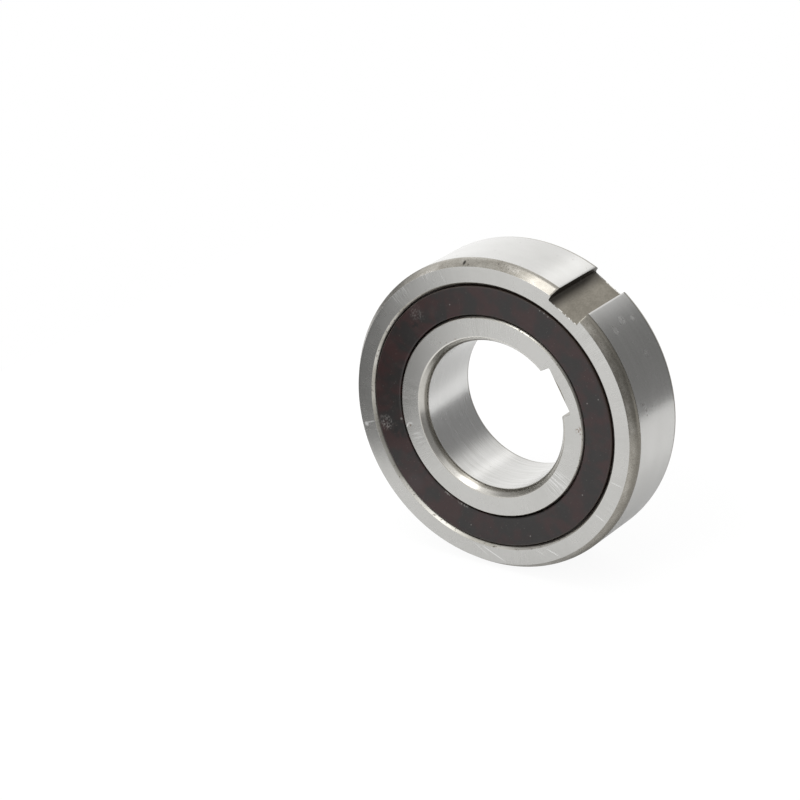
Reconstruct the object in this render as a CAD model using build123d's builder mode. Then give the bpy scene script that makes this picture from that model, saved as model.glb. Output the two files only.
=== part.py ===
from build123d import *
import os
from math import asin, cos, degrees, radians, sin, sqrt

# One-way ball bearing: a deep-groove ball bearing whose cage also carries sprags between the balls.
# The inner ring turns freely clockwise, seen from the front, and the sprags lock it the other way.
# The bearing stands upright: the spin axis is Y, Z is up and the front faces -Y.
# The origin is the centre of the bearing. Millimetres.

# Radial build-up, from the bore outwards
bore_diameter = 25.0
inner_ring_wall = 3.138  # bore to the bottom of the inner ball groove
ball_diameter = 7.144  # 9/32 inch
ball_clearance = 0.04  # between a ball and the bottom of each groove
outer_ring_wall = 3.138  # bottom of the outer ball groove to the outside
groove_depth = 1.26  # of both ball grooves, below the lands
groove_conformity = 0.52  # groove radius over ball diameter

# Axial size and the turned corners of the rings
width = 15.0
outside_corner_radial = 1.0
outside_corner_axial = 1.6
outside_corner_blend = 1.2
bore_corner_radial = 0.95
bore_corner_axial = 1.3
bore_corner_blend = 0.7
bore_face_blend = 0.25
land_edge = 0.36  # rounding of the inner ring's face into its land

# Keyways: angle from +X towards +Z, and depth below the bore or the outside
outer_key_angle = 58.3
outer_key_width = 6.0
outer_key_depth = 2.0
bore_key_angle = 30.5
bore_key_width = 8.0
bore_key_depth = 2.0
key_corner = 0.25

# Shields and the recesses that they snap into
shield_recess = 0.15  # ring face to shield face
shield_sheet = 0.4
shield_height = 1.75  # shield face to the underside of its brim
shield_gap = 0.12  # radial, between the shield and the inner ring's land
shield_lip = 0.8  # how far the inner edge is turned in
shield_lip_bend = 0.25
shield_shoulder_bend = 0.3
shoulder_gap = 0.1  # radial, between the shoulder and the recess wall
recess_step = 0.38  # radial, from the sprag track out to the recess wall
recess_mouth = 0.5  # rounding of the outer ring's face into the recess
snap_depth = 0.42  # how far the brim reaches under the recess wall
snap_clearance = 0.03

# Cage
ball_count = 8
cage_side_clearance = 0.2  # to the shield's brim
cage_side_web = 0.5
pocket_clearance = 0.15
snap_mouth = 6.3  # opening that the balls snap through, narrower than a ball
middle_web = 0.7  # between two neighbouring sprag windows, at the bore of the cage
window_clearance = 0.12

# Sprags
sprag_thickness = 2.3
sprag_end_clearance = 0.1
race_clearance = 0.03  # between a sprag and each ring
cam_radius = 1.9
cam_offset = 0.25  # sideways, of each cam's centre from the sprag's radial line
sprag_waist = 0.1
sprag_edge = 0.2

# Garter springs, drawn as plain rings of their outside diameter
spring_thickness = 0.6
spring_side_clearance = 0.04
spring_clearance = 0.02  # over the round neck of a sprag

# Radii that follow
bore_radius = bore_diameter / 2
inner_groove_bottom = bore_radius + inner_ring_wall
pitch_radius = inner_groove_bottom + ball_clearance + ball_diameter / 2
outer_groove_bottom = pitch_radius + ball_diameter / 2 + ball_clearance
outside_radius = outer_groove_bottom + outer_ring_wall
groove_radius = groove_conformity * ball_diameter
inner_land = inner_groove_bottom + groove_depth
outer_land = outer_groove_bottom - groove_depth
recess_radius = outer_land + recess_step
snap_radius = recess_radius + snap_depth
neck_radius = sprag_thickness / 2
cage_outer = pitch_radius + neck_radius + spring_clearance
cage_inner = pitch_radius - neck_radius

# Distances from the middle plane that follow
front_face = width / 2
shield_face = front_face - shield_recess
shield_back = shield_face - shield_sheet
shoulder_foot = shield_face - shield_height + shield_sheet
recess_floor = shield_face - shield_height
cage_half = recess_floor - cage_side_clearance
window_half = cage_half - cage_side_web
sprag_half = window_half - sprag_end_clearance
neck_start = sprag_half - spring_thickness - 2 * spring_side_clearance
groove_half = sqrt(groove_radius**2 - (groove_radius - groove_depth) ** 2)

os.makedirs("parts", exist_ok=True)


def save(part, name):
    """Label a finished piece and write it as one STEP file."""
    part.label = name
    export_step(part, f"parts/{name}.step")


def radial_plane(angle, radius=0.0):
    """A plane across the spin axis, with X pointing outwards at this angle and Z to the front."""
    out = (cos(radians(angle)), 0, sin(radians(angle)))
    origin = (radius * out[0], 0, radius * out[2])
    return Plane(origin=origin, x_dir=out, z_dir=(0, -1, 0))


def outer_ring():
    """Outer ring: ball groove and sprag track inside, a shield recess each side, a keyway outside."""
    with BuildPart() as ring:
        with BuildSketch(Plane.XY) as section:
            with BuildLine():
                Polyline(
                    (outside_radius, 0),
                    (outside_radius, front_face - outside_corner_axial),
                    (outside_radius - outside_corner_radial, front_face),
                    (recess_radius, front_face),
                    (recess_radius, shoulder_foot + snap_clearance),
                    (snap_radius, shoulder_foot + snap_clearance),
                    (snap_radius, recess_floor),
                    (outer_land, recess_floor),
                    (outer_land, groove_half),
                )
                RadiusArc((outer_land, groove_half), (outer_groove_bottom, 0), groove_radius)
                Line((outer_groove_bottom, 0), (outside_radius, 0))
            make_face()
            corner = section.vertices().group_by(Axis.Y)[-1].sort_by(Axis.X)[0]
            fillet(corner, recess_mouth)
            corner = section.vertices().group_by(Axis.X)[-1].sort_by(Axis.Y)[-1]
            fillet(corner, outside_corner_blend)
            mirror(about=Plane.XZ)
        revolve(axis=Axis.Y)
        with BuildSketch(radial_plane(outer_key_angle)) as keyway:
            with Locations((outside_radius - outer_key_depth, 0)):
                Rectangle(2 * outer_key_depth, outer_key_width, align=(Align.MIN, Align.CENTER))
            fillet(keyway.vertices().group_by(Axis.X)[0], key_corner)
        extrude(amount=width, both=True, mode=Mode.SUBTRACT)
    return ring.part


def inner_ring():
    """Inner ring: ball groove and plain lands outside, a keyway in the bore."""
    with BuildPart() as ring:
        with BuildSketch(Plane.XY) as section:
            with BuildLine():
                Polyline(
                    (inner_groove_bottom, 0),
                    (bore_radius, 0),
                    (bore_radius, front_face - bore_corner_axial),
                    (bore_radius + bore_corner_radial, front_face),
                    (inner_land, front_face),
                    (inner_land, groove_half),
                )
                RadiusArc((inner_land, groove_half), (inner_groove_bottom, 0), -groove_radius)
            make_face()
            corner = section.vertices().group_by(Axis.Y)[-1].sort_by(Axis.X)[0]
            fillet(corner, bore_face_blend)
            corner = section.vertices().group_by(Axis.X)[0].sort_by(Axis.Y)[-1]
            fillet(corner, bore_corner_blend)
            corner = section.vertices().group_by(Axis.X)[-1].sort_by(Axis.Y)[-1]
            fillet(corner, land_edge)
            mirror(about=Plane.XZ)
        revolve(axis=Axis.Y)
        with BuildSketch(radial_plane(bore_key_angle)) as keyway:
            with Locations((bore_radius + bore_key_depth, 0)):
                Rectangle(bore_radius, bore_key_width, align=(Align.MAX, Align.CENTER))
            fillet(keyway.vertices().group_by(Axis.X)[-1], key_corner)
        extrude(amount=width, both=True, mode=Mode.SUBTRACT)
    return ring.part


def shield(side):
    """Pressed sheet shield: brim in the snap groove, round shoulder, flat face, turned-in lip."""
    lip_radius = inner_land + shield_gap
    shoulder_radius = recess_radius - shoulder_gap
    brim_radius = snap_radius - snap_clearance
    with BuildPart() as plate:
        with BuildSketch(Plane.XY) as section:
            with BuildLine():
                Polyline(
                    (lip_radius, side * shield_face),
                    (shoulder_radius, side * shield_face),
                    (shoulder_radius, side * shoulder_foot),
                    (brim_radius, side * shoulder_foot),
                    (brim_radius, side * recess_floor),
                    (shoulder_radius - shield_sheet, side * recess_floor),
                    (shoulder_radius - shield_sheet, side * shield_back),
                    (lip_radius + shield_sheet, side * shield_back),
                    (lip_radius + shield_sheet, side * (shield_face - shield_lip)),
                    (lip_radius, side * (shield_face - shield_lip)),
                    close=True,
                )
            make_face()
            outward = section.vertices().group_by(Axis.Y)[-1 if side > 0 else 0].sort_by(Axis.X)
            fillet(outward[-1], shield_shoulder_bend)
            fillet(outward[0], shield_lip_bend)
        revolve(axis=Axis.Y)
    return plate.part


def cage():
    """One-piece moulded cage: ball pockets open to the rear, closed sprag windows in pairs."""
    pitch_angle = 360 / ball_count
    window_width = sprag_thickness + 2 * window_clearance
    window_angle = degrees(asin((window_width + middle_web) / 2 / cage_inner))
    with BuildPart(Plane.XZ) as body:
        Cylinder(cage_outer, 2 * cage_half)
        Cylinder(cage_inner, 2 * cage_half, mode=Mode.SUBTRACT)
        with PolarLocations(pitch_radius, ball_count):
            Sphere(ball_diameter / 2 + pocket_clearance, mode=Mode.SUBTRACT)
            Box(
                ball_diameter,
                snap_mouth,
                2 * cage_half,
                align=(Align.CENTER, Align.CENTER, Align.MAX),
                mode=Mode.SUBTRACT,
            )
        for turn in (-window_angle, window_angle):
            with PolarLocations(pitch_radius, ball_count, start_angle=pitch_angle / 2 + turn):
                Box(ball_diameter, window_width, 2 * window_half, mode=Mode.SUBTRACT)
    return body.part, [pitch_angle / 2 - window_angle, pitch_angle / 2 + window_angle]


def ball(angle):
    """One ball on the pitch circle."""
    with BuildPart(radial_plane(angle, pitch_radius)) as sphere:
        Sphere(ball_diameter / 2)
    return sphere.part


def sprag(angle):
    """One sprag: two offset cams on a waisted body, with a round neck at each end for the springs."""
    cam_height = (outer_land - inner_land) / 2 - race_clearance - cam_radius
    flank = sprag_thickness / 2
    high = cam_height + sqrt(cam_radius**2 - (flank - cam_offset) ** 2)
    low = cam_height + sqrt(cam_radius**2 - (flank + cam_offset) ** 2)
    top = cam_height + cam_radius
    waist = flank - sprag_waist
    middle = (high - low) / 2
    with BuildPart() as wedge:
        # On this plane X points outwards and Y runs anticlockwise round the bearing
        with BuildSketch(radial_plane(angle, pitch_radius)) as section:
            with BuildLine():
                ThreePointArc((low, -flank), (top, cam_offset), (high, flank))
                ThreePointArc((high, flank), (middle, waist), (-low, flank))
                ThreePointArc((-low, flank), (-top, -cam_offset), (-high, -flank))
                ThreePointArc((-high, -flank), (-middle, -waist), (low, -flank))
            make_face()
            fillet(section.vertices(), sprag_edge)
        extrude(amount=sprag_half, both=True)
        for start in (neck_start, -sprag_half):
            with BuildSketch(radial_plane(angle, pitch_radius).offset(start)):
                Rectangle(top, sprag_thickness, align=(Align.MIN, Align.CENTER))
                Circle(neck_radius, mode=Mode.SUBTRACT)
            extrude(amount=sprag_half - neck_start, mode=Mode.SUBTRACT)
    return wedge.part


def garter_spring(side):
    """Garter spring round the necks of all the sprags, resting on the cage."""
    centre = neck_start + spring_side_clearance + spring_thickness / 2
    with BuildPart() as coil:
        with BuildSketch(Plane.XY):
            with Locations((cage_outer + spring_thickness / 2, side * centre)):
                Circle(spring_thickness / 2)
        revolve(axis=Axis.Y)
    return coil.part


front, rear = -1, 1
save(outer_ring(), "outer_ring")
save(inner_ring(), "inner_ring")
save(shield(front), "front_shield")
save(shield(rear), "rear_shield")
cage_part, window_angles = cage()
save(cage_part, "cage")
save(garter_spring(front), "front_garter_spring")
save(garter_spring(rear), "rear_garter_spring")
for number in range(ball_count):
    ball_angle = number * 360 / ball_count
    save(ball(ball_angle), f"ball_{number + 1:02d}")
    for place, turn in enumerate(window_angles):
        save(sprag(ball_angle + turn), f"sprag_{2 * number + place + 1:02d}")
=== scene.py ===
# %% [markdown]
# # A one-way ball bearing
# This is a steel ring in a steel ring, with eight balls and sixteen sprags between them.
# The sprags let the inner ring turn one way and wedge it the other way, so both rings
# have a keyway: one across the outside, one in the bore. Thin dark shields close both sides.
#
# The CAD model gives every piece its place. Here both rings, both shields and both garter
# springs get finer surfaces, worked out with numpy, and every piece gets a finish made of
# shader nodes.

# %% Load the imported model, the frame that everything stands in
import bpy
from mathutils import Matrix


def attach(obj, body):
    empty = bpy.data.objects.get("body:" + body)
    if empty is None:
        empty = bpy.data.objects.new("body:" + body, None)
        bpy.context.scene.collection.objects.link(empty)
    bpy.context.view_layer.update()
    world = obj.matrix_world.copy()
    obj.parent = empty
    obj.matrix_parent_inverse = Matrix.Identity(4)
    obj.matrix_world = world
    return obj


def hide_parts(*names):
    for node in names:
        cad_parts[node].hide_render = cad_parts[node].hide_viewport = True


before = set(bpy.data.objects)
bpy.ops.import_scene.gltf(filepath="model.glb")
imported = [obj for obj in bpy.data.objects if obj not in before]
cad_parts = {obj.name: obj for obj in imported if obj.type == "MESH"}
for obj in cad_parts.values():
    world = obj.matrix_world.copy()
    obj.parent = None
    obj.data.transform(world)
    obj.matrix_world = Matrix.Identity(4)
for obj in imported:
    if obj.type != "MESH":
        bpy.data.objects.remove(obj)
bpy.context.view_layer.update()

import math

import bmesh
import bpy
import numpy as np
from mathutils import Matrix, Vector

MM = 0.001

# %% [markdown]
# ## Camera
# The camera comes first, because everything is judged through it. A long lens, far away,
# keeps the circles of a bearing close to true ellipses. The bearing stands on its outside,
# and the camera looks at it from the front right, a little from above. It is turned so
# that the bearing sits right of the middle, and nothing in the lens is shifted.

# %% Place the camera
view_azimuth = math.radians(30.28)  # from the front, towards the right
view_elevation = math.radians(22.68)
view_distance = 0.4833
aim_turn = math.radians(2.36)  # anticlockwise seen from above
aim_lift = math.radians(0.03)
sensor_width = 36.0
focal_length = 135.54

towards_camera = Vector((
    math.sin(view_azimuth) * math.cos(view_elevation),
    -math.cos(view_azimuth) * math.cos(view_elevation),
    math.sin(view_elevation),
))
aim = Matrix.Rotation(aim_turn, 3, "Z") @ -towards_camera
aim = Matrix.Rotation(aim_lift, 3, aim.cross(Vector((0, 0, 1)))) @ aim

camera_data = bpy.data.cameras.new("product_camera")
camera_data.sensor_width = sensor_width
camera_data.lens = focal_length
camera_data.clip_start = 0.01
camera = bpy.data.objects.new("product_camera", camera_data)
bpy.context.scene.collection.objects.link(camera)
camera.location = towards_camera * view_distance
camera.rotation_euler = aim.to_track_quat("-Z", "Y").to_euler()
bpy.context.scene.camera = camera
bpy.context.scene.view_settings.view_transform = "Standard"
print("camera at", [round(v, 4) for v in camera.location])

# %% [markdown]
# ## Shader maths
# A finish is a formula: where am I, how far from the axis, how much grain is here. Node by
# node such a formula is hard to read. So one small class wraps a socket, and its + - * /
# add the Math nodes. Any other node comes from one method, `Tree.node`, which takes the
# type, the settings and the values or links of the sockets.

# %% A socket that does arithmetic
class Value:
    """One output socket. Arithmetic with numbers or other Values adds Math nodes."""

    def __init__(self, tree, socket):
        self.tree, self.socket = tree, socket

    def math(self, operation, *others):
        return self.tree.node("ShaderNodeMath", {"operation": operation}, dict(enumerate((self, *others))))

    def __add__(self, other):
        return self.math("ADD", other)

    def __sub__(self, other):
        return self.math("SUBTRACT", other)

    def __rsub__(self, other):
        return self.tree.node("ShaderNodeMath", {"operation": "SUBTRACT"}, {0: other, 1: self})

    def __mul__(self, other):
        return self.math("MULTIPLY", other)

    def __truediv__(self, other):
        return self.math("DIVIDE", other)

    def __abs__(self):
        return self.math("ABSOLUTE")

    __radd__, __rmul__ = __add__, __mul__

    def at_least(self, other):
        return self.math("MAXIMUM", other)

    def ramp(self, start, end):
        """0 before start, 1 after end, and smooth between. start may be the larger one."""
        sockets = {"Value": self, "From Min": start, "From Max": end}
        return self.tree.node("ShaderNodeMapRange", {"interpolation_type": "SMOOTHSTEP"}, sockets)


# %% A node tree that builds itself from formulas
class Tree:
    """The node tree of a material or of the world."""

    def __init__(self, owner):
        owner.use_nodes = True
        self.nodes, self.links = owner.node_tree.nodes, owner.node_tree.links
        self.nodes.clear()

    def node(self, kind, settings=None, sockets=None, out=0):
        """Add a node: settings first, then sockets, which are values or Values. Gives output `out`."""
        made = self.nodes.new(kind)
        for name, setting in (settings or {}).items():
            setattr(made, name, setting)
        for name, given in (sockets or {}).items():
            if isinstance(given, Value):
                self.links.new(given.socket, made.inputs[name])
            else:
                made.inputs[name].default_value = given
        return Value(self, made.outputs[out])

    def split(self, vector):
        """The x, y and z of a vector."""
        first = self.node("ShaderNodeSeparateXYZ", {}, {0: vector})
        return [Value(self, output) for output in first.socket.node.outputs]

    def vector(self, x, y, z):
        return self.node("ShaderNodeCombineXYZ", {}, {0: x, 1: y, 2: z})

    def noise(self, vector, detail=2.0, roughness=0.5):
        """Soft noise of about one blot per unit of the vector, around 0.5."""
        return self.node("ShaderNodeTexNoise", {}, {
            "Vector": vector, "Scale": 1.0, "Detail": detail, "Roughness": roughness})

    def mix(self, factor, first, second):
        """Colour `first` where factor is 0, `second` where it is 1."""
        made = self.node("ShaderNodeMix", {"data_type": "RGBA"}, {0: factor}, out=2).socket.node
        for slot, given in ((6, first), (7, second)):
            if isinstance(given, Value):
                self.links.new(given.socket, made.inputs[slot])
            else:
                made.inputs[slot].default_value = (*given, 1.0)
        return Value(self, made.outputs[2])

    def end(self, kind, shader):
        """Add the output node of a material or of the world, and give it the shader."""
        self.links.new(shader.socket, self.nodes.new(kind).inputs["Surface"])


# %% [markdown]
# ## Where a point is on the bearing
# Grinding marks follow the machine: round the ring on the outside and in the bore, outwards
# from the axis on the faces. So a finish needs polar coordinates. The angle itself jumps
# where the circle closes, so the noise reads the unit direction (x/r, z/r) instead, which
# closes by itself. Everything is in millimetres, to keep the numbers easy to picture.

# %% A finish that knows where it is
def polar(radius, degrees):
    """The (x, z) of a point on the bearing, in millimetres. 0 degrees is right, 90 is up."""
    return radius * math.cos(math.radians(degrees)), radius * math.sin(math.radians(degrees))


class Finish(Tree):
    """A metal or plastic finish.

    x, y, z and r are in millimetres, and (cx, cz) is the direction from the axis.
    """

    def __init__(self, name, metallic=1.0):
        self.material = bpy.data.materials.new(name)
        super().__init__(self.material)
        place = self.node("ShaderNodeTexCoord", out=3)
        place = self.node("ShaderNodeVectorMath", {"operation": "SCALE"}, {0: place, "Scale": 1 / MM})
        self.place = place
        self.x, self.y, self.z = self.split(place)
        self.r = (self.x * self.x + self.z * self.z).math("SQRT")
        self.cx, self.cz = self.x / self.r, self.z / self.r
        self.metallic = metallic

    def round_grain(self, across, along, radius):
        """Streaks that run round the axis, `across` mm wide and `along` mm long at this radius."""
        turn = radius / along
        lane = (self.y + self.r) * (1 / across)
        return self.noise(self.vector(self.cx * turn, self.cz * turn, lane), detail=1.0)

    def outward_grain(self, across, along, radius):
        """Streaks that run outwards from the axis, `across` mm wide at this radius and `along` mm long."""
        turn = radius / across
        return self.noise(self.vector(self.cx * turn, self.cz * turn, self.r * (1 / along)), detail=1.0)

    def blots(self, size, share, seed=0.0, soft=0.05, detail=2.0):
        """A mask of blots of about `size` mm. A larger share covers more."""
        moved = self.node("ShaderNodeVectorMath", {"operation": "MULTIPLY_ADD"},
                          {0: self.place, 1: (1 / size,) * 3, 2: (seed, seed * 1.7, seed * 0.6)})
        edge = 0.78 - 0.5 * share
        return self.noise(moved, detail).ramp(edge - soft, edge + soft)

    def near(self, radius, degrees, size, y=None):
        """A soft round mask of `size` mm about a point, on both faces if y isn't given."""
        x, z = polar(radius, degrees)
        aside, above = self.x - x, self.z - z
        square = aside * aside + above * above
        if y is not None:
            square = square + (self.y - y) * (self.y - y)
        return square.math("SQRT").ramp(size, 0.4 * size)

    def scratch(self, start, end, thickness):
        """A mask of one straight scratch on a face, between two (radius, degrees) points."""
        start, end = polar(*start), polar(*end)
        length = math.dist(start, end)
        ux, uz = (end[0] - start[0]) / length, (end[1] - start[1]) / length
        along = (self.x - start[0]) * ux + (self.z - start[1]) * uz
        aside = abs((self.x - start[0]) * uz - (self.z - start[1]) * ux)
        taper = along.ramp(0, 0.3 * length) * along.ramp(length, 0.6 * length)
        return aside.ramp(thickness, 0.3 * thickness) * taper

    def surface(self, colour, roughness, height=None, depth=0.001, **fixed):
        """Ends the tree in one shader. height is 0 to 1, and depth is its size in millimetres."""
        sockets = {"Base Color": colour, "Roughness": roughness, "Metallic": self.metallic, **fixed}
        if height is not None:
            sockets["Normal"] = self.node("ShaderNodeBump", {}, {
                "Strength": 1.0, "Distance": depth * MM, "Height": height})
        self.end("ShaderNodeOutputMaterial", self.node("ShaderNodeBsdfPrincipled", {}, sockets))
        return self.material


# %% [markdown]
# ## Light
# Polished steel shows its surroundings more than its own colour, so the studio is drawn as
# carefully as the bearing. It is a pale room at about strength 1, at which a colour
# renders about as it is written. Behind, to the right, stands a dark panel: it gives the
# dark band on the right of the outside and in the bore. The dark parts at the right, behind
# the camera and at the left shade the corners. A narrow soft light stands behind, a little
# higher, and gives the bright streak beside the keyway. Two small round lights, one nearly
# overhead and one above the camera, give the glints on the corners. The camera itself sees
# plain white.

# %% The room
room = Tree(bpy.data.worlds.new("studio"))
bpy.context.scene.world = bpy.data.worlds["studio"]
looking = room.split(room.node("ShaderNodeTexCoord"))
azimuth = looking[0].math("ARCTAN2", looking[1]) * (180 / math.pi)  # 0 is behind the bearing, 90 its right
elevation = looking[2].math("ARCSINE") * (180 / math.pi)


def panel(centre, half_size, soft):
    """A soft-edged oval in the room, 1 inside. Sizes are (azimuth, elevation) in degrees."""
    across = (azimuth - centre[0]).math("WRAP", 180, -180) / half_size[0]
    up = (elevation - centre[1]) / half_size[1]
    return (across * across + up * up).math("SQRT").ramp(1 + soft, 1 - soft)


def lamp(centre, inner, outer):
    """A round light: 1 within `inner` degrees of its centre, 0 outside `outer`."""
    turn, rise = map(math.radians, centre)
    towards = (math.sin(turn) * math.cos(rise), math.cos(turn) * math.cos(rise), math.sin(rise))
    facing = looking[0] * towards[0] + looking[1] * towards[1] + looking[2] * towards[2]
    return facing.ramp(math.cos(math.radians(outer)), math.cos(math.radians(inner)))


panels = (  # centre, half size, softness, and what it adds to the brightness
    ((33, 10), (19, 35), 0.45, -0.80),  # dark panel behind, to the right
    ((112, 12), (25, 40), 0.35, -0.72),  # dark room at the right, in front
    ((70, 24), (19, 22), 0.40, -0.60),  # and the dark wall between them
    ((162, 12), (20, 20), 0.50, -0.75),  # dark room behind the camera
    ((-98, 44), (15, 14), 0.50, -0.60),  # dark ceiling at the left
    ((-64, -2), (17, 14), 0.40, -0.95),  # small dark panel at the left
    ((-8, 38), (5.5, 16), 0.50, 0.50),  # narrow soft light behind
    ((172, 56), (24, 15), 0.40, 0.40),  # soft light above the camera
    ((-60, 5), (44, 45), 0.60, 0.20),  # pale wall at the left
)
lamps = (  # centre, full light within and none outside this many degrees, and what it adds
    ((180, 80), 6, 14, 3.4),  # nearly overhead
    ((176, 58), 4, 11, 1.2),  # above the camera
)
room_level, darkest = 1.02, 0.06
brightness = room_level
for centre, half_size, soft, adds in panels:
    brightness = panel(centre, half_size, soft) * adds + brightness
brightness = brightness.at_least(darkest)
for centre, inner, outer, adds in lamps:
    brightness = brightness + lamp(centre, inner, outer) * adds
on_camera = room.node("ShaderNodeLightPath")
brightness = on_camera + (1 - on_camera) * brightness
room.end("ShaderNodeOutputWorld", room.node(
    "ShaderNodeBackground", {}, {"Color": (1, 1, 1, 1), "Strength": brightness}))
print("room with", len(room.nodes), "nodes")

# %% [markdown]
# The floor is white and touches the bearing's lowest point. What the camera sees of it is
# mostly a plain white glow, so that it melts into the background, and partly a lit surface,
# so that a faint shadow stays where the bearing stands. The steel sees more of the lit
# surface, with a painted glow on the floor in front of the bearing, and a grey patch behind
# it, a painted shadow, which tones the lower right of the outside.

# %% The floor
floor_level = -26.0 * MM
floor_reach = 120 * MM
# painted shadow: a grey patch on the floor behind the bearing, mostly seen by the steel
shadow_patch_middle, shadow_patch_half_size = (4, 26), (32, 28)  # the greyer patch, (x, y) in millimetres
white, shadow_grey = (0.88, 0.88, 0.88), (0.62, 0.62, 0.62)
glow_for_camera, glow_for_steel, glow_in_front = 0.88, 0.03, 0.5  # shares of glow in what is seen
floor_mesh = bpy.data.meshes.new("floor")
corners = np.array([(-1, -1, 0), (1, -1, 0), (1, 1, 0), (-1, 1, 0)]) * floor_reach
floor_mesh.from_pydata((corners + (0, 0, floor_level)).tolist(), [], [(0, 1, 2, 3)])
floor = bpy.data.objects.new("floor", floor_mesh)
bpy.context.scene.collection.objects.link(floor)

paper = Finish("white_paper")
camera_ray, glossy_ray, clear_ray = [paper.node("ShaderNodeLightPath", out=place) for place in (0, 3, 6)]
# painted light and shadow: reflections see more glow in front of the bearing, and the painted shadow patch
# behind it
in_front = paper.y.ramp(4, -10)
shadow_x = (paper.x - shadow_patch_middle[0]) / shadow_patch_half_size[0]
shadow_y = (paper.y - shadow_patch_middle[1]) / shadow_patch_half_size[1]
patch = (shadow_x * shadow_x + shadow_y * shadow_y).math("SQRT").ramp(1.4, 0.5)
seen = camera_ray.at_least(clear_ray) * glow_for_camera
seen = seen + glossy_ray * (glow_for_steel + in_front * glow_in_front)
lit = paper.node("ShaderNodeBsdfDiffuse", {}, {"Color": paper.mix(patch, white, shadow_grey)})
glow = paper.node("ShaderNodeEmission", {}, {"Color": (1, 1, 1, 1), "Strength": 1.05})
paper.end("ShaderNodeOutputMaterial", paper.node("ShaderNodeMixShader", {}, {0: seen, 1: lit, 2: glow}))
floor_mesh.materials.append(paper.material)

# %% [markdown]
# A small grey card stands at the front left, where the camera doesn't see it. The left part
# of both faces shows it, so the flat steel turns from light to dark across the bearing.

# %% The grey card
card_middle = Vector((-50, -30, -9)) * MM
card_half_size = 31 * MM, 50 * MM
card_turn = math.radians(-33.3)
card_strength = 0.20
card_mesh = bpy.data.meshes.new("grey_card")
sideways = Vector((math.cos(card_turn), math.sin(card_turn), 0)) * card_half_size[0]
upright = Vector((0, 0, card_half_size[1]))
card_mesh.from_pydata(
    [card_middle + sideways * a + upright * b for a, b in ((-1, -1), (1, -1), (1, 1), (-1, 1))],
    [], [(0, 1, 2, 3)])
card = bpy.data.objects.new("grey_card", card_mesh)
bpy.context.scene.collection.objects.link(card)
card.visible_camera = card.visible_diffuse = card.visible_shadow = False

grey = Finish("grey_card")
across = (grey.x - card_middle.x / MM) / (card_half_size[0] / MM * math.cos(card_turn))
above = (grey.z - card_middle.z / MM) / (card_half_size[1] / MM)
offset = (across * across + above * above).math("SQRT")
clear = grey.node("ShaderNodeBsdfTransparent")
dark = grey.node("ShaderNodeEmission", {}, {"Color": (1, 1, 1, 1), "Strength": card_strength})
grey.end("ShaderNodeOutputMaterial", grey.node(
    "ShaderNodeMixShader", {}, {0: offset.ramp(1, 0.4), 1: clear, 2: dark}))
card_mesh.materials.append(grey.material)

# %% [markdown]
# ## Outlines
# A bearing ring is a turned part: one closed outline, in radius and distance along the
# axis, carried round the axis. A corner of the outline is never quite sharp, and the thin
# bright line on a real edge comes from its rounding. So each corner is given with a
# rounding radius, and each side with the finish that its machine left.

# %% Round the corners of an outline
CORNER_STEPS = 5


def rounded(corners):
    """A closed outline with rounded corners.

    A corner is (radius, y, rounding, finish of the side that follows, finish of the arc), and
    without the last value the arc takes the side's. At a corner P with unit vectors a and b
    towards its neighbours, and h half the angle between them, the arc has the centre
    P + unit(a + b) * rounding / sin(h) and starts rounding / tan(h) from P on both sides.
    Gives the points, and a finish for each side between them.
    """
    spot = np.array([c[:2] for c in corners])
    back, ahead = np.roll(spot, 1, 0) - spot, np.roll(spot, -1, 0) - spot
    back /= np.linalg.norm(back, axis=1)[:, None]
    ahead /= np.linalg.norm(ahead, axis=1)[:, None]
    points, finishes = [], []
    for place, a, b, corner in zip(spot, back, ahead, corners):
        rounding, finish = corner[2:4]
        if rounding <= 0:
            points.append(place[None, :])
            finishes.append([finish])
            continue
        half = math.acos(np.clip(a @ b, -1, 1)) / 2
        middle = (a + b) / np.linalg.norm(a + b)
        centre = place + middle * rounding / math.sin(half)
        first = place + a * rounding / math.tan(half) - centre
        last = place + b * rounding / math.tan(half) - centre
        swing = math.pi - 2 * half
        turn = np.linspace(0, 1, CORNER_STEPS + 1)[:, None]
        arc = (first * np.sin((1 - turn) * swing) + last * np.sin(turn * swing)) / math.sin(swing)
        points.append(centre + arc)
        finishes.append([corner[4] if len(corner) > 4 else finish] * CORNER_STEPS + [finish])
    return np.vstack(points), np.concatenate(finishes)


def outward(points):
    """Unit directions out of a closed outline, across the chord between a point's neighbours."""
    chord = np.roll(points, -1, 0) - np.roll(points, 1, 0)
    area = np.sum(points[:, 0] * np.roll(points[:, 1], -1) - np.roll(points[:, 0], -1) * points[:, 1])
    normal = np.stack([chord[:, 1], -chord[:, 0]], 1) * np.sign(area)
    return normal / np.linalg.norm(normal, axis=1)[:, None]


# %% [markdown]
# ## Surfaces
# The whole piece is one grid: rows are the points of the outline, columns go round the
# axis. A keyway is cut without any cutting tool. Near it the columns stand parallel to the
# keyway's wall instead of outwards, and inside it each row is held at the keyway's floor.
# The two columns at each wall share their place and differ only in height, so the faces
# between them are the wall. A boolean cut would give the same shape with ragged long
# triangles, which show as shading faults on polished steel.

# %% Carry an outline round the axis
COLUMNS = 360
WALL_EDGE = 0.07  # rounding along the top of a keyway's walls, in millimetres


def turned(points):
    """Grid of (outwards, sideways) for rows of one radius each, with the same columns for all rows."""
    angle = np.linspace(0, 2 * np.pi, COLUMNS, endpoint=False)
    return points[:, :1] * np.cos(angle), points[:, :1] * np.sin(angle), points[:, 1:] + 0 * angle[None, :]


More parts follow.
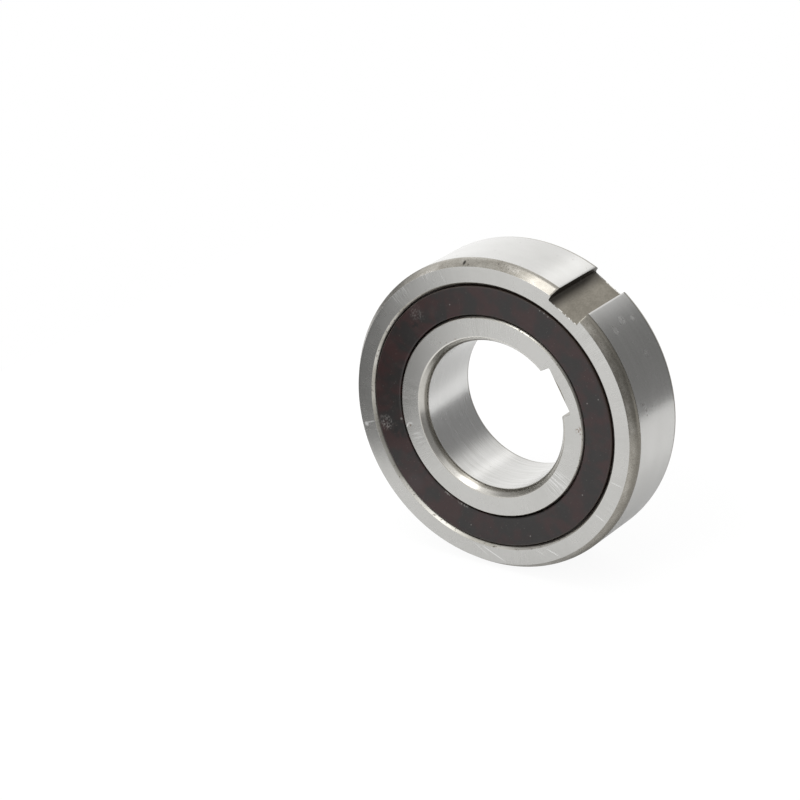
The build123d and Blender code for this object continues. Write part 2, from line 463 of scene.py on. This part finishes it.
def keyed(points, normals, half_width, floor, corner, below):
    """The same with a keyway at angle 0, and a mask of the columns inside it.

    Outside the keyway a column keeps sideways = half_width + e near the wall, and turns to
    equal angles further on. The edge is rounded by moving row points in by
    b - sqrt(b^2 - (b - e)^2). Inside it outwards = min(sqrt(r^2 - s^2), floor), or max in
    a bore. The floor rises to the wall as a quarter circle of radius `corner`.
    """
    radius, y = points[:, :1], points[:, 1:]
    side = 1 if below else -1
    rim = math.hypot(floor + side * corner, half_width)  # radius where a wall begins
    cut = side * (radius - rim) > 1e-6
    e = np.array([0.0, 0.3, 1.0]) * WALL_EDGE
    inset = (WALL_EDGE - np.sqrt(WALL_EDGE**2 - (WALL_EDGE - e) ** 2)) * cut
    edge_radius = radius - inset * normals[:, :1]
    edge_y = y - inset * normals[:, 1:]
    edge_sideways = half_width + e + 0 * radius
    edge_outwards = np.sqrt(edge_radius**2 - edge_sideways**2)

    wall_angle = np.arcsin((half_width + WALL_EDGE) / radius)
    clear_angle = 1.12 * wall_angle.max()
    blend = np.linspace(0, 1, 5)[1:-1]
    lead = wall_angle * (1 - blend) + clear_angle * blend
    around = np.linspace(clear_angle, 2 * np.pi - clear_angle, COLUMNS) + 0 * radius
    angle = np.hstack([lead, around, 2 * np.pi - lead[:, ::-1]])

    quarter = np.linspace(0, np.pi / 2, 5)
    rise_sideways = half_width - corner + corner * np.sin(quarter)
    rise = corner * (1 - np.cos(quarter))
    flat = np.linspace(-(half_width - corner), half_width - corner, 15)[1:-1]
    sideways = np.concatenate([-rise_sideways[::-1], flat, rise_sideways]) + 0 * radius
    level = floor + side * np.concatenate([rise[::-1], 0 * flat, rise])
    surface = np.sqrt(radius**2 - sideways**2)
    held = np.minimum(surface, level) if below else np.maximum(surface, level)

    # two more columns keep each wall flat between its rounded top and its filleted foot
    height = edge_outwards[:, :1] - held[:, :1]
    step = np.minimum(0.12, 0.4 * abs(height)) * side
    foot = held[:, :1]
    wall = np.hstack([foot + height - step, foot + step])
    wall_y = np.hstack([edge_y[:, :1], (edge_y[:, :1] + y) / 2])

    outwards = np.hstack([edge_outwards, radius * np.cos(angle), edge_outwards[:, ::-1],
                          wall, held, wall[:, ::-1]])
    across = np.hstack([edge_sideways, radius * np.sin(angle), -edge_sideways[:, ::-1],
                        -half_width + 0 * wall, sideways, half_width + 0 * wall])
    along = np.hstack([edge_y, y + 0 * angle, edge_y[:, ::-1], wall_y, y + 0 * sideways, wall_y[:, ::-1]])
    first = outwards.shape[1] - sideways.shape[1] - 5
    inside = (np.arange(outwards.shape[1]) >= first) & cut & np.roll(cut, -1, 0)
    return (outwards, across, along), inside


# %% [markdown]
# The grid becomes a mesh in one call. Rows and columns both close on themselves. Where a
# keyway holds many rows at one place their corners fall together and are merged, which
# also removes the faces between them. Then the faces are turned outwards, and edges of
# more than 35 degrees stay sharp.

# %% Make a mesh of a grid
def grid_piece(name, grid, key_angle, side_finish, finishes, body, replaced,
               key_cells=None, key_finish=0):
    """A closed grid as an object, turned by key_angle about the axis, riding on a body."""
    outwards, sideways, along = grid
    cos, sin = math.cos(key_angle), math.sin(key_angle)
    place = np.stack([outwards * cos - sideways * sin, along, outwards * sin + sideways * cos], 2) * MM
    rows, columns = outwards.shape
    row, column = np.meshgrid(np.arange(rows), np.arange(columns), indexing="ij")
    below, beside = (row + 1) % rows, (column + 1) % columns
    corners = np.stack([row * columns + column, below * columns + column,
                        below * columns + beside, row * columns + beside], 2).reshape(-1, 4)
    kind = np.repeat(side_finish, columns).reshape(rows, columns)
    if key_cells is not None:
        kind = np.where(key_cells, key_finish, kind)
    mesh = bpy.data.meshes.new(name)
    mesh.from_pydata(place.reshape(-1, 3).tolist(), [], corners.tolist())
    mesh.polygons.foreach_set("material_index", kind.ravel().astype(np.int32))
    for finish in finishes:
        mesh.materials.append(finish)
    work = bmesh.new()
    work.from_mesh(mesh)
    bmesh.ops.remove_doubles(work, verts=work.verts, dist=2e-7)
    bmesh.ops.recalc_face_normals(work, faces=work.faces)
    work.to_mesh(mesh)
    work.free()
    mesh.polygons.foreach_set("use_smooth", np.ones(len(mesh.polygons), bool))
    mesh.set_sharp_from_angle(angle=math.radians(35))
    piece = bpy.data.objects.new(name, mesh)
    bpy.context.scene.collection.objects.link(piece)
    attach(piece, body)
    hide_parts(*replaced)
    print(name, len(mesh.polygons), "faces")


# %% [markdown]
# ## Sizes
# These are the sizes of the CAD model, in millimetres. They are repeated here, because a
# piece that replaces a CAD node has to fill the same place.

# %% Sizes of the rings
bore, outside = 12.5, 26.0
inner_land, outer_land = 16.898, 21.602
face = 7.5
groove_radius, groove_depth = 3.715, 1.26
groove_half = math.sqrt(groove_radius**2 - (groove_radius - groove_depth) ** 2)
outside_corner, bore_corner = (1.0, 1.6), (0.95, 1.3)
recess, snap = 21.982, 22.402
recess_bevel, land_bevel = (0.47, 0.5), (0.324, 0.54)  # across the face, and into the bearing
shield_face, shield_sheet, shield_height = 7.35, 0.4, 1.75
recess_floor = shield_face - shield_height
snap_start = recess_floor + shield_sheet + 0.03
outer_key = {"half_width": 3.0, "floor": 24.0, "corner": 0.25, "below": True}
bore_key = {"half_width": 4.0, "floor": 14.5, "corner": 0.25, "below": False}
outer_key_angle, bore_key_angle = math.radians(58.3), math.radians(30.5)
edge = 0.06


def both_sides(front_half, closing):
    """A closed outline from the corners of its front half, repeated backwards behind y = 0.

    A corner is (radius, distance in front, rounding, finish of the next side, finish of its
    arc). Behind, the order is turned round, so each corner takes its neighbour's side.
    """
    front = [(c[0], -c[1], *c[2:]) for c in front_half]
    next_side = [c[3] for c in front_half[-2::-1]] + [closing]
    behind = [(c[0], c[1], c[2], finish, *c[4:]) for c, finish in zip(front_half[::-1], next_side)]
    return front + behind


def with_groove(points, finishes, sign, track, steps=14):
    """Put a ball groove into an outline, between its two land corners at y = -/+ groove_half.

    The groove is an arc of groove_radius about a centre off the land:
    r = centre + sign * sqrt(R^2 - y^2), with its deepest point groove_depth from the land.
    """
    land = outer_land if sign > 0 else inner_land
    centre = land + sign * (groove_depth - groove_radius)
    y = np.linspace(-groove_half, groove_half, steps + 1)
    arc = np.stack([centre + sign * np.sqrt(groove_radius**2 - y**2), y], 1)
    on_land = np.abs(points[:, 0] - land) + np.abs(np.abs(points[:, 1]) - groove_half) < 1e-6
    first, second = np.flatnonzero(on_land)
    points = np.vstack([points[:first], arc, points[second + 1:]])
    finishes = np.concatenate([finishes[:first], [track] * steps, finishes[second:]])
    return points, finishes


def supported(points, finishes, reach=0.1, shortest=0.8):
    """Add a row close to both ends of every long side, so that its shading stays flat."""
    ahead = np.roll(points, -1, 0) - points
    length = np.linalg.norm(ahead, axis=1)
    step = ahead / length[:, None] * reach
    rows = np.stack([points, points + step, points + ahead - step], 1)
    keep = np.stack([length > 0, length > shortest, length > shortest], 1)
    finishes = np.repeat(finishes[:, None], 3, 1)
    return rows[keep], finishes[keep]


# %% [markdown]
# ## Steel
# One steel, finished by different machines. The faces were ground flat and show fine marks
# that run outwards, and a few handling scratches. The outside and the bore were ground
# while the ring turned, so their marks run round. The colour hardly changes between them:
# what changes is how the marks spread the reflection, so grain goes mostly into roughness
# and a bump of about a thousandth of a millimetre.

# %% Ground faces
steel_light, steel_dark = (0.645, 0.64, 0.625), (0.545, 0.54, 0.52)
face_light, face_dark = (0.615, 0.61, 0.59), (0.52, 0.515, 0.495)
bright_mark = (0.95, 0.95, 0.94)
face_scratches = (  # (radius, degrees) of both ends, width in millimetres, strength
    ((22.6, 266), (24.9, 278.5), 0.13, 0.8), ((22.5, 262), (24.4, 271), 0.11, 0.4),
    ((22.7, 297.5), (24.9, 302.5), 0.12, 0.8), ((22.6, 293), (24.0, 296), 0.10, 0.4),
    ((22.5, 328), (25.0, 328.6), 0.12, 0.7), ((22.5, 345), (25.0, 345.3), 0.10, 0.7),
    ((22.5, 194.2), (24.6, 194.8), 0.14, 0.8), ((22.5, 112), (24.9, 113), 0.09, 0.4),
    ((15.1, 196.4), (16.1, 195.8), 0.16, 0.8), ((15.9, 195.6), (16.6, 198.6), 0.16, 0.8),
)
# patches and dots are (radius, degrees, size)
stroked_patches = ((14.8, 326, 3.0), (26.0, 134, 3.6), (25.6, 120, 2.0), (15.0, 206, 1.4))
brushed_patches = ((15.2, 176, 3.6), (14.8, 325, 3.2), (15.4, 97, 3.0))
# painted glint: a small near-white spot on the scratch at about 195 degrees
painted_glint = (24.3, 195.2, 0.5)
brown_stain = (16.2, 5, 0.9)
dark_dots = ((13.7, 119, 0.16), (13.8, 127, 0.12), (14.3, 131, 0.12), (15.7, 197.5, 0.22))


def ground_face():
    """Flat ground faces of both rings."""
    metal = Finish("ground_face_steel")
    fine = metal.outward_grain(across=0.14, along=2.2, radius=20)
    broad = metal.outward_grain(across=0.9, along=6.0, radius=20)
    cloud = metal.noise(metal.vector(metal.x * 0.16, metal.y, metal.z * 0.16), detail=3.0)
    patch = metal.noise(metal.vector(metal.x * 0.11 + 7.0, metal.y, metal.z * 0.11)).ramp(0.50, 0.68)
    stroked = 0
    for radius, degrees, size in stroked_patches:
        stroked = metal.near(radius, degrees, size).at_least(stroked)
    brushed = 0
    for radius, degrees, size in brushed_patches:
        brushed = metal.near(radius, degrees, size).at_least(brushed)
    strokes_and_glint = metal.outward_grain(across=0.14, along=4.0, radius=20).ramp(0.52, 0.64) * stroked * 0.8
    for start, end, thickness, strength in face_scratches:
        strokes_and_glint = strokes_and_glint.at_least(metal.scratch(start, end, thickness) * strength)
    # the painted glint joins the strokes and scratches
    strokes_and_glint = strokes_and_glint.at_least(metal.near(*painted_glint) * 0.9)
    stain = metal.near(*brown_stain) * metal.blots(0.4, share=0.5, seed=6.0)
    for radius, degrees, size in dark_dots:
        stain = stain.at_least(metal.near(radius, degrees, size))
    streaks = (fine * 0.6 + broad * 0.4 - 0.5) * (0.25 + patch * 0.7 + brushed * 1.1)
    tone = (streaks + (cloud - 0.5) * 0.4 + 0.5).ramp(0.2, 0.8)
    colour = metal.mix(tone, face_dark, face_light)
    colour = metal.mix(strokes_and_glint * 0.8, colour, bright_mark)
    colour = metal.mix(stain * 0.7, colour, (0.22, 0.15, 0.10))
    roughness = 0.27 + streaks * 0.12 + (cloud - 0.5) * 0.08 + strokes_and_glint * 0.2
    return metal.surface(colour, roughness, streaks - strokes_and_glint * 0.4, depth=0.0012)


# %% [markdown]
# The round surfaces have finer marks that run round the ring, with a few dark nicks and
# pale scuffs from handling. In the bore the marks are plainer, and its upper part is painted
# paler: painted light, for brighter reflections there.

# %% Ground outside, bore and lands
dark_nicks = ((14.8, -3.8, 0.26), (12.3, -3.2, 0.30), (10.4, -3.0, 0.18))  # degrees, y, size
pale_scuffs = ((43.7, 0.4, 1.0), (41.5, -2.6, 0.8), (42.4, 3.0, 0.6), (30, 1.5, 0.5))


def ground_round():
    """Cylindrical ground surfaces of both rings."""
    metal = Finish("ground_round_steel")
    fine = metal.round_grain(across=0.12, along=9.0, radius=26)
    broad = metal.round_grain(across=0.7, along=30.0, radius=26)
    cloud = metal.noise(metal.vector(metal.x * 0.12, metal.y * 0.2, metal.z * 0.12))
    nicks = metal.blots(0.5, share=0.05, seed=3.0, soft=0.02)
    scuffs = 0
    for degrees, y, size in dark_nicks:
        nicks = nicks.at_least(metal.near(outside, degrees, size, y))
    for degrees, y, size in pale_scuffs:
        scuffs = metal.near(outside, degrees, size, y).at_least(scuffs)
    scuffs = scuffs * metal.blots(0.6, share=0.6, seed=2.0, soft=0.3)
    in_bore = metal.r.ramp(15, 13)
    tone = fine * 0.25 + broad * 0.15 + cloud * 0.6 + (fine + broad - 1) * in_bore * 0.8
    colour = metal.mix(tone.ramp(0.1, 0.9), steel_dark, steel_light)
    colour = metal.mix(nicks * 0.75, colour, (0.12, 0.11, 0.10))
    colour = metal.mix(scuffs * 0.22, colour, (0.86, 0.86, 0.85))
    # painted light: the upper part of the bore is painted paler
    colour = metal.mix(in_bore * metal.z.ramp(-10.5, -7) * 0.55, colour, (0.86, 0.86, 0.85))
    roughness = 0.24 + (fine - 0.5) * 0.06 + (broad - 0.5) * 0.02
    roughness = roughness + nicks * 0.3 + scuffs * 0.1 + in_bore * 0.02
    return metal.surface(colour, roughness, fine * 0.8 + broad * 0.2 - nicks, depth=0.0003)


# %% [markdown]
# The corners were turned before hardening and never ground. They keep the tool's grooves
# and the brownish grey of heat treatment, with black specks of scale and bright points
# where handling wore them. In the bore the outer half of the corner is worn smooth, and
# painted pale, paler towards the top: painted light. A darker line runs along its inner
# edge. At the right, the outer corner turns darker towards the outside.

# %% Turned corners
black_specks = (25.45, 102.5, 0.34), (25.2, 100.5, 0.16)  # radius, degrees, size
worn_patch = (25.1, 119, 2.4)


def turned_corner():
    """Chamfers at the outside and at the bore."""
    metal = Finish("turned_corner_steel")
    grit = metal.noise(metal.vector(metal.x * 2.6, metal.y * 4.0, metal.z * 2.6), detail=4.0)
    stain = metal.noise(metal.vector(metal.x * 0.45, metal.y * 0.9, metal.z * 0.45), detail=5.0)
    specks = metal.blots(0.30, share=0.12, seed=5.0, soft=0.03)
    large_speck, small_speck = [metal.near(*speck) for speck in black_specks]
    specks = specks.at_least(large_speck).at_least(small_speck * 0.7)
    worn_area = (stain.ramp(0.58, 0.68) * 0.3).at_least(metal.near(*worn_patch) * metal.r.ramp(25.5, 25.1))
    worn = metal.blots(0.24, share=0.40, seed=9.0, soft=0.05) * worn_area
    # darker along the inner edge of the bore corner
    darker_inner_edge = metal.r.ramp(13.05, 12.75)
    # painted light: the outer half of the bore corner is smoothed, and painted pale, paler towards the top
    smoothed_and_painted_pale = metal.r.ramp(14.5, 13.7) * metal.r.ramp(12.75, 13.0)
    smoothed_and_painted_pale = smoothed_and_painted_pale * (0.6 + metal.z.ramp(2, 9) * 0.4)
    tone = grit * 0.4 + stain * 0.6
    colour = metal.mix(tone.ramp(0.3, 0.7), (0.275, 0.258, 0.225), (0.42, 0.402, 0.362))
    colour = metal.mix(worn * 0.7, colour, (0.84, 0.80, 0.78))
    colour = metal.mix(darker_inner_edge * 0.55, colour, (0.15, 0.14, 0.12))
    # darker towards the edge of the outside, at the right of the ring
    darker_right_edge = metal.r.ramp(25.25, 25.9) * metal.x.ramp(6, 18)
    colour = metal.mix(darker_right_edge * (0.35 + stain * 0.4), colour, (0.11, 0.10, 0.08))
    colour = metal.mix(smoothed_and_painted_pale, colour, (0.72, 0.705, 0.665))
    colour = metal.mix(specks * (0.9 - smoothed_and_painted_pale * 0.5), colour, (0.02, 0.018, 0.016))
    grit = grit * (1 - smoothed_and_painted_pale * 0.7)
    roughness = 0.27 + (grit - 0.5) * 0.2 + specks * 0.2
    return metal.surface(colour, roughness, grit * 0.5 + worn * 0.3 - specks * 0.4, depth=0.0015)


# %% [markdown]
# The keyways were milled, and left as the cutter left them: matt, warm grey-brown, with a
# fine even grain. The outer one has a pale burr where its floor meets the faces, painted
# near white as partly a painted glint, and painted shade along one wall.

# %% Milled keyways
def milled_keyway():
    """Floor and walls of both keyways."""
    metal = Finish("milled_keyway_steel")
    grain = metal.noise(metal.vector(metal.x * 5.0, metal.y * 2.0, metal.z * 5.0), detail=3.0)
    cloud = metal.noise(metal.vector(metal.x * 0.5, metal.y * 0.35, metal.z * 0.5), detail=3.0)
    # a pale burr along the floor's edges at the faces, painted near white: partly a painted glint
    burr_and_glint = abs(metal.y).ramp(7.15, 7.35) * metal.r.ramp(18, 20)
    burr_and_glint = burr_and_glint * metal.blots(0.42, share=0.58, seed=2.0, soft=0.03)
    tone = (grain * 0.5 + cloud * 0.5).ramp(0.3, 0.7)
    colour = metal.mix(tone, (0.205, 0.187, 0.152), (0.30, 0.277, 0.232))
    colour = metal.mix(burr_and_glint, colour, (0.95, 0.94, 0.90))
    # painted shade: darker towards one wall of the outer keyway, where shade falls
    aside = metal.z * math.cos(outer_key_angle) - metal.x * math.sin(outer_key_angle)
    painted_wall_shade = aside.ramp(0.2, 2.8) * metal.r.ramp(20, 22) * (0.8 + cloud * 0.4)
    colour = metal.mix(painted_wall_shade * 0.8, colour, (0.045, 0.04, 0.034))
    roughness = 0.33 + (grain - 0.5) * 0.16 + painted_wall_shade * 0.1
    return metal.surface(colour, roughness, grain, depth=0.002)


# %% [markdown]
# The recess that holds each shield was turned too, and catches the light as a thin cream
# line round the shield, with dark spots of dried oil.

# %% Recess walls, ball grooves and sprag tracks
def recess_wall():
    """Bevels at the mouths of the shield recesses and at the inner ring's land."""
    metal = Finish("recess_wall_steel")
    groove = metal.round_grain(across=0.10, along=5.0, radius=22)
    spots = metal.blots(0.45, share=0.26, seed=7.0, soft=0.06)
    colour = metal.mix(groove.ramp(0.35, 0.65), (0.44, 0.425, 0.38), (0.61, 0.595, 0.55))
    colour = metal.mix(spots * 0.7, colour, (0.12, 0.10, 0.08))
    return metal.surface(colour, 0.30 + spots * 0.2, groove - spots * 0.3, depth=0.002)


def honed_track():
    """Ball grooves and the tracks that the sprags grip, honed bright."""
    metal = Finish("honed_track_steel")
    fine = metal.round_grain(across=0.06, along=12.0, radius=20)
    colour = metal.mix(fine, (0.60, 0.60, 0.59), (0.74, 0.74, 0.73))
    return metal.surface(colour, 0.14 + (fine - 0.5) * 0.08, fine, depth=0.0006)


ring_finishes = [
    ground_face(), ground_round(), turned_corner(), milled_keyway(), recess_wall(), honed_track()]
FACE, ROUND, CORNER, KEY, RECESS, TRACK = range(len(ring_finishes))
print("ring finishes", [finish.name for finish in ring_finishes])

# %% [markdown]
# ## The rings
# The outer ring's section runs from its outside corner over the face into the recess, down
# to the sprag track and the ball groove, and back out behind. Both rings get one extra
# corner on each face, where the keyway's floor meets it, so that no row crosses the floor.

# %% Outer ring
outer_rim = math.hypot(outer_key["floor"] + outer_key["corner"], outer_key["half_width"])
outer_front = [
    (outside, face - outside_corner[1], 1.2, CORNER, CORNER),
    (outside - outside_corner[0], face, edge, FACE),
    (outer_rim, face, 0, FACE),
    (recess + recess_bevel[0], face, 0.06, RECESS),
    (recess, face - recess_bevel[1], 0.06, RECESS),
    (recess, snap_start, 0, RECESS),
    (snap, snap_start, 0, TRACK),
    (snap, recess_floor, 0, TRACK),
    (outer_land, recess_floor, 0.1, TRACK),
    (outer_land, groove_half, 0, TRACK),
]


def ring(name, front_half, sign, key, key_angle, body, node):
    """A ring with its ball groove and its keyway."""
    points, finishes = rounded(both_sides(front_half, ROUND))
    points, finishes = supported(*with_groove(points, finishes, sign, TRACK))
    grid, key_cells = keyed(points, outward(points), **key)
    grid_piece(name, grid, key_angle, finishes, ring_finishes, body, [node],
               key_cells, KEY)


ring("outer_ring_ground", outer_front, 1, outer_key, outer_key_angle, "outer_body", "outer_ring")

# %% Inner ring
bore_rim = math.hypot(bore_key["floor"] - bore_key["corner"], bore_key["half_width"])
inner_front = [
    (bore, face - bore_corner[1], 0.7, CORNER, CORNER),
    (bore + bore_corner[0], face, 0.25, FACE, CORNER),
    (bore_rim, face, 0, FACE),
    (inner_land - land_bevel[0], face, 0.08, RECESS, RECESS),
    (inner_land, face - land_bevel[1], 0.12, ROUND, RECESS),
    (inner_land, groove_half, 0, TRACK),
]
ring("inner_ring_ground", inner_front, -1, bore_key, bore_key_angle, "inner_body", "inner_ring")

# %% [markdown]
# ## The shields
# Each shield is one pressing of thin sheet. Its brim snaps into the groove of the outer
# ring, its shoulder is bent round, and its inner edge is turned in, close to the inner
# ring. It is black oxide over bare steel: dark brown-black, half glossy, with faint reddish
# bands that run outwards, stained by dried oil, and rubbed lighter where a tool or a thumb
# touched it.

# %% Black oxide
pale_dots = (  # radius, degrees
    (19.2, 114), (19.9, 260), (19.3, 331), (18.4, 20), (20.6, 21), (20.3, 292),
    (21.6, 62.5), (21.65, 64.6), (21.6, 66.8),
)
oil_stains = (18.2, 199, 2.3), (19.0, 138.5, 0.9)  # radius, degrees, size
rubbed_patches = (20.5, 195, 1.7), (20.4, 133.5, 1.7)
worn_lip = (17.3, 243, 1.2), (17.3, 253, 1.4)
lip_chip = (17.3, 193.5, 0.28)
grey_patch = (20.2, 226, 2.0)


def black_oxide():
    """Oxide finish of the shields, a thin dark layer that reflects like varnish."""
    skin = Finish("black_oxide", metallic=0.0)
    band = skin.noise(skin.vector(skin.cx * 6.0, skin.cz * 6.0, skin.r * 0.25), detail=3.0)
    fine = skin.round_grain(across=0.12, along=5.0, radius=19)
    cloud = skin.blots(2.6, share=0.30, seed=4.0, soft=0.12, detail=5.0)
    dust = skin.blots(0.16, share=0.08, seed=8.0, soft=0.02)
    oil = skin.near(*oil_stains[0]).at_least(skin.near(*oil_stains[1]))
    oil = oil * skin.blots(0.7, share=0.62, seed=5.0)
    smear = skin.noise(skin.vector(skin.x * 6.0, skin.y, skin.z * 3.0 - skin.x), detail=5.0)
    smear = smear.ramp(0.48, 0.64)
    strong, faint = [skin.near(*rubbed_patch) for rubbed_patch in rubbed_patches]
    rubbed = smear * (strong * 0.6).at_least(faint * 0.3)
    lip_wear = skin.near(*worn_lip[0]).at_least(skin.near(*worn_lip[1])) * skin.r.ramp(17.45, 17.25)
    rubbed = rubbed.at_least(smear * lip_wear * 0.7).at_least(skin.near(*lip_chip) * 0.5)
    for radius, degrees in pale_dots:
        rubbed = rubbed.at_least(skin.near(radius, degrees, 0.14) * 0.7)
    colour = skin.mix(band.ramp(0.40, 0.62), (0.0100, 0.0074, 0.0068), (0.0270, 0.0066, 0.0062))
    colour = skin.mix(skin.r.ramp(21.5, 21.8), colour, (0.045, 0.030, 0.024))
    colour = skin.mix(cloud * 0.15, colour, (0.05, 0.045, 0.042))
    colour = skin.mix(skin.near(*grey_patch) * 0.18, colour, (0.045, 0.045, 0.05))
    colour = skin.mix(oil * 0.9, colour, (0.002, 0.0015, 0.0012))
    colour = skin.mix(dust * 0.5, colour, (0.35, 0.33, 0.30))
    colour = skin.mix(rubbed * 0.8, colour, (0.36, 0.35, 0.33))
    roughness = 0.32 + (fine - 0.5) * 0.10 + cloud * 0.12
    return skin.surface(colour, roughness, fine, depth=0.001, IOR=1.54)


oxide = black_oxide()

# %% Shields
lip, shoulder, brim = inner_land + 0.12, recess - 0.2, snap - 0.03
lip_depth, sheet_edge = 0.8, 0.05


def shield(name, side, node):
    """A pressed shield. side is -1 in front and 1 behind."""
    section = [
        (lip, shield_face, 0.25),
        (shoulder, shield_face, 0.22),
        (shoulder, recess_floor + shield_sheet, 0.0),
        (brim, recess_floor + shield_sheet, sheet_edge),
        (brim, recess_floor, sheet_edge),
        (shoulder - shield_sheet, recess_floor, sheet_edge),
        (shoulder - shield_sheet, shield_face - shield_sheet, sheet_edge),
        (lip + shield_sheet, shield_face - shield_sheet, sheet_edge),
        (lip + shield_sheet, shield_face - lip_depth, sheet_edge),
        (lip, shield_face - lip_depth, sheet_edge),
    ]
    points, finishes = rounded([(radius, side * y, rounding, 0) for radius, y, rounding in section])
    points, finishes = supported(points, finishes)
    grid_piece(name, turned(points), 0.0, finishes, [oxide], "outer_body", [node])


shield("front_shield_pressing", -1, "front_shield")
shield("rear_shield_pressing", 1, "rear_shield")

# %% [markdown]
# ## The garter springs
# A garter spring is a close coil bent into a ring. It is a tube carried along a path that
# winds round a circle: the path is at R + a cos(nu) outwards and a sin(nu) along the axis,
# where u is the angle round the bearing and n the number of coils.

# %% Garter springs
spring_radius, spring_distance = 20.72, 4.46  # from the axis, and from the middle of the bearing
coil_radius, wire_radius = 0.3, 0.07


def garter_spring(name, side, node, finish, coils=300, coil_steps=8, wire_steps=4):
    """A coiled ring. The wire's section is a circle across the path."""
    u = np.linspace(0, 2 * np.pi, coils * coil_steps, endpoint=False)[:, None]
    v = np.linspace(0, 2 * np.pi, wire_steps, endpoint=False)[None, :]
    path = spring_radius + (coil_radius - wire_radius) * np.cos(coils * u)
    across = path + wire_radius * np.cos(v) * np.cos(coils * u)
    winding = coil_radius - wire_radius + wire_radius * np.cos(v)
    along = side * spring_distance + winding * np.sin(coils * u)
    ahead = wire_radius * np.sin(v)
    grid = (across * np.cos(u) - ahead * np.sin(u), across * np.sin(u) + ahead * np.cos(u), along)
    one_finish = np.zeros(len(u), int)
    grid_piece(name, grid, 0.0, one_finish, [finish], "cage_body", [node])


def wire_steel():
    """Drawn spring wire."""
    metal = Finish("drawn_wire")
    cloud = metal.noise(metal.vector(metal.x, metal.y, metal.z))
    colour = metal.mix(cloud, (0.38, 0.38, 0.39), (0.55, 0.55, 0.56))
    return metal.surface(colour, 0.28 + (cloud - 0.5) * 0.1)


wire_finish = wire_steel()
garter_spring("front_garter_coil", -1, "front_garter_spring", wire_finish)
garter_spring("rear_garter_coil", 1, "rear_garter_spring", wire_finish)

# %% [markdown]
# ## Inside
# Balls, sprags and cage keep their CAD shapes and get their own finishes: polished balls,
# ground sprags with a straw tint from tempering, and a cream polyamide cage with the faint
# flow marks of moulding.

# %% Finishes of the inner pieces
def polished_ball():
    """Lapped ball steel, almost a mirror."""
    metal = Finish("polished_ball_steel")
    haze = metal.noise(metal.vector(metal.x * 0.8, metal.y * 0.8, metal.z * 0.8), detail=3.0)
    return metal.surface(metal.mix(haze, (0.70, 0.70, 0.70), (0.76, 0.76, 0.755)), 0.05 + haze * 0.04)


def ground_sprag():
    """Sprag steel, ground along its length."""
    metal = Finish("ground_sprag_steel")
    grain = metal.noise(metal.vector(metal.x * 9.0, metal.y * 0.4, metal.z * 9.0))
    tint = metal.noise(metal.vector(metal.x * 0.7, metal.y * 0.3, metal.z * 0.7))
    colour = metal.mix(grain, (0.44, 0.44, 0.43), (0.58, 0.575, 0.55))
    colour = metal.mix(tint.ramp(0.5, 0.7) * 0.3, colour, (0.50, 0.43, 0.30))
    return metal.surface(colour, 0.26 + (grain - 0.5) * 0.12, grain, depth=0.001)


def moulded_cage():
    """Cream polyamide."""
    plastic = Finish("moulded_polyamide", metallic=0.0)
    flow = plastic.noise(plastic.vector(plastic.cx * 6.0, plastic.cz * 6.0, plastic.y * 0.3), detail=3.0)
    grain = plastic.noise(plastic.vector(plastic.x * 7.0, plastic.y * 7.0, plastic.z * 7.0))
    colour = plastic.mix(flow.ramp(0.3, 0.7), (0.74, 0.70, 0.58), (0.83, 0.80, 0.69))
    return plastic.surface(colour, 0.46 + (grain - 0.5) * 0.16, grain, depth=0.003)


# %% Give them to the CAD pieces
ball_finish, sprag_finish, cage_finish = polished_ball(), ground_sprag(), moulded_cage()
for name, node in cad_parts.items():
    finish = {"ball": ball_finish, "sprag": sprag_finish, "cage": cage_finish}.get(name.split("_")[0])
    if finish:
        node.data.materials.clear()
        node.data.materials.append(finish)
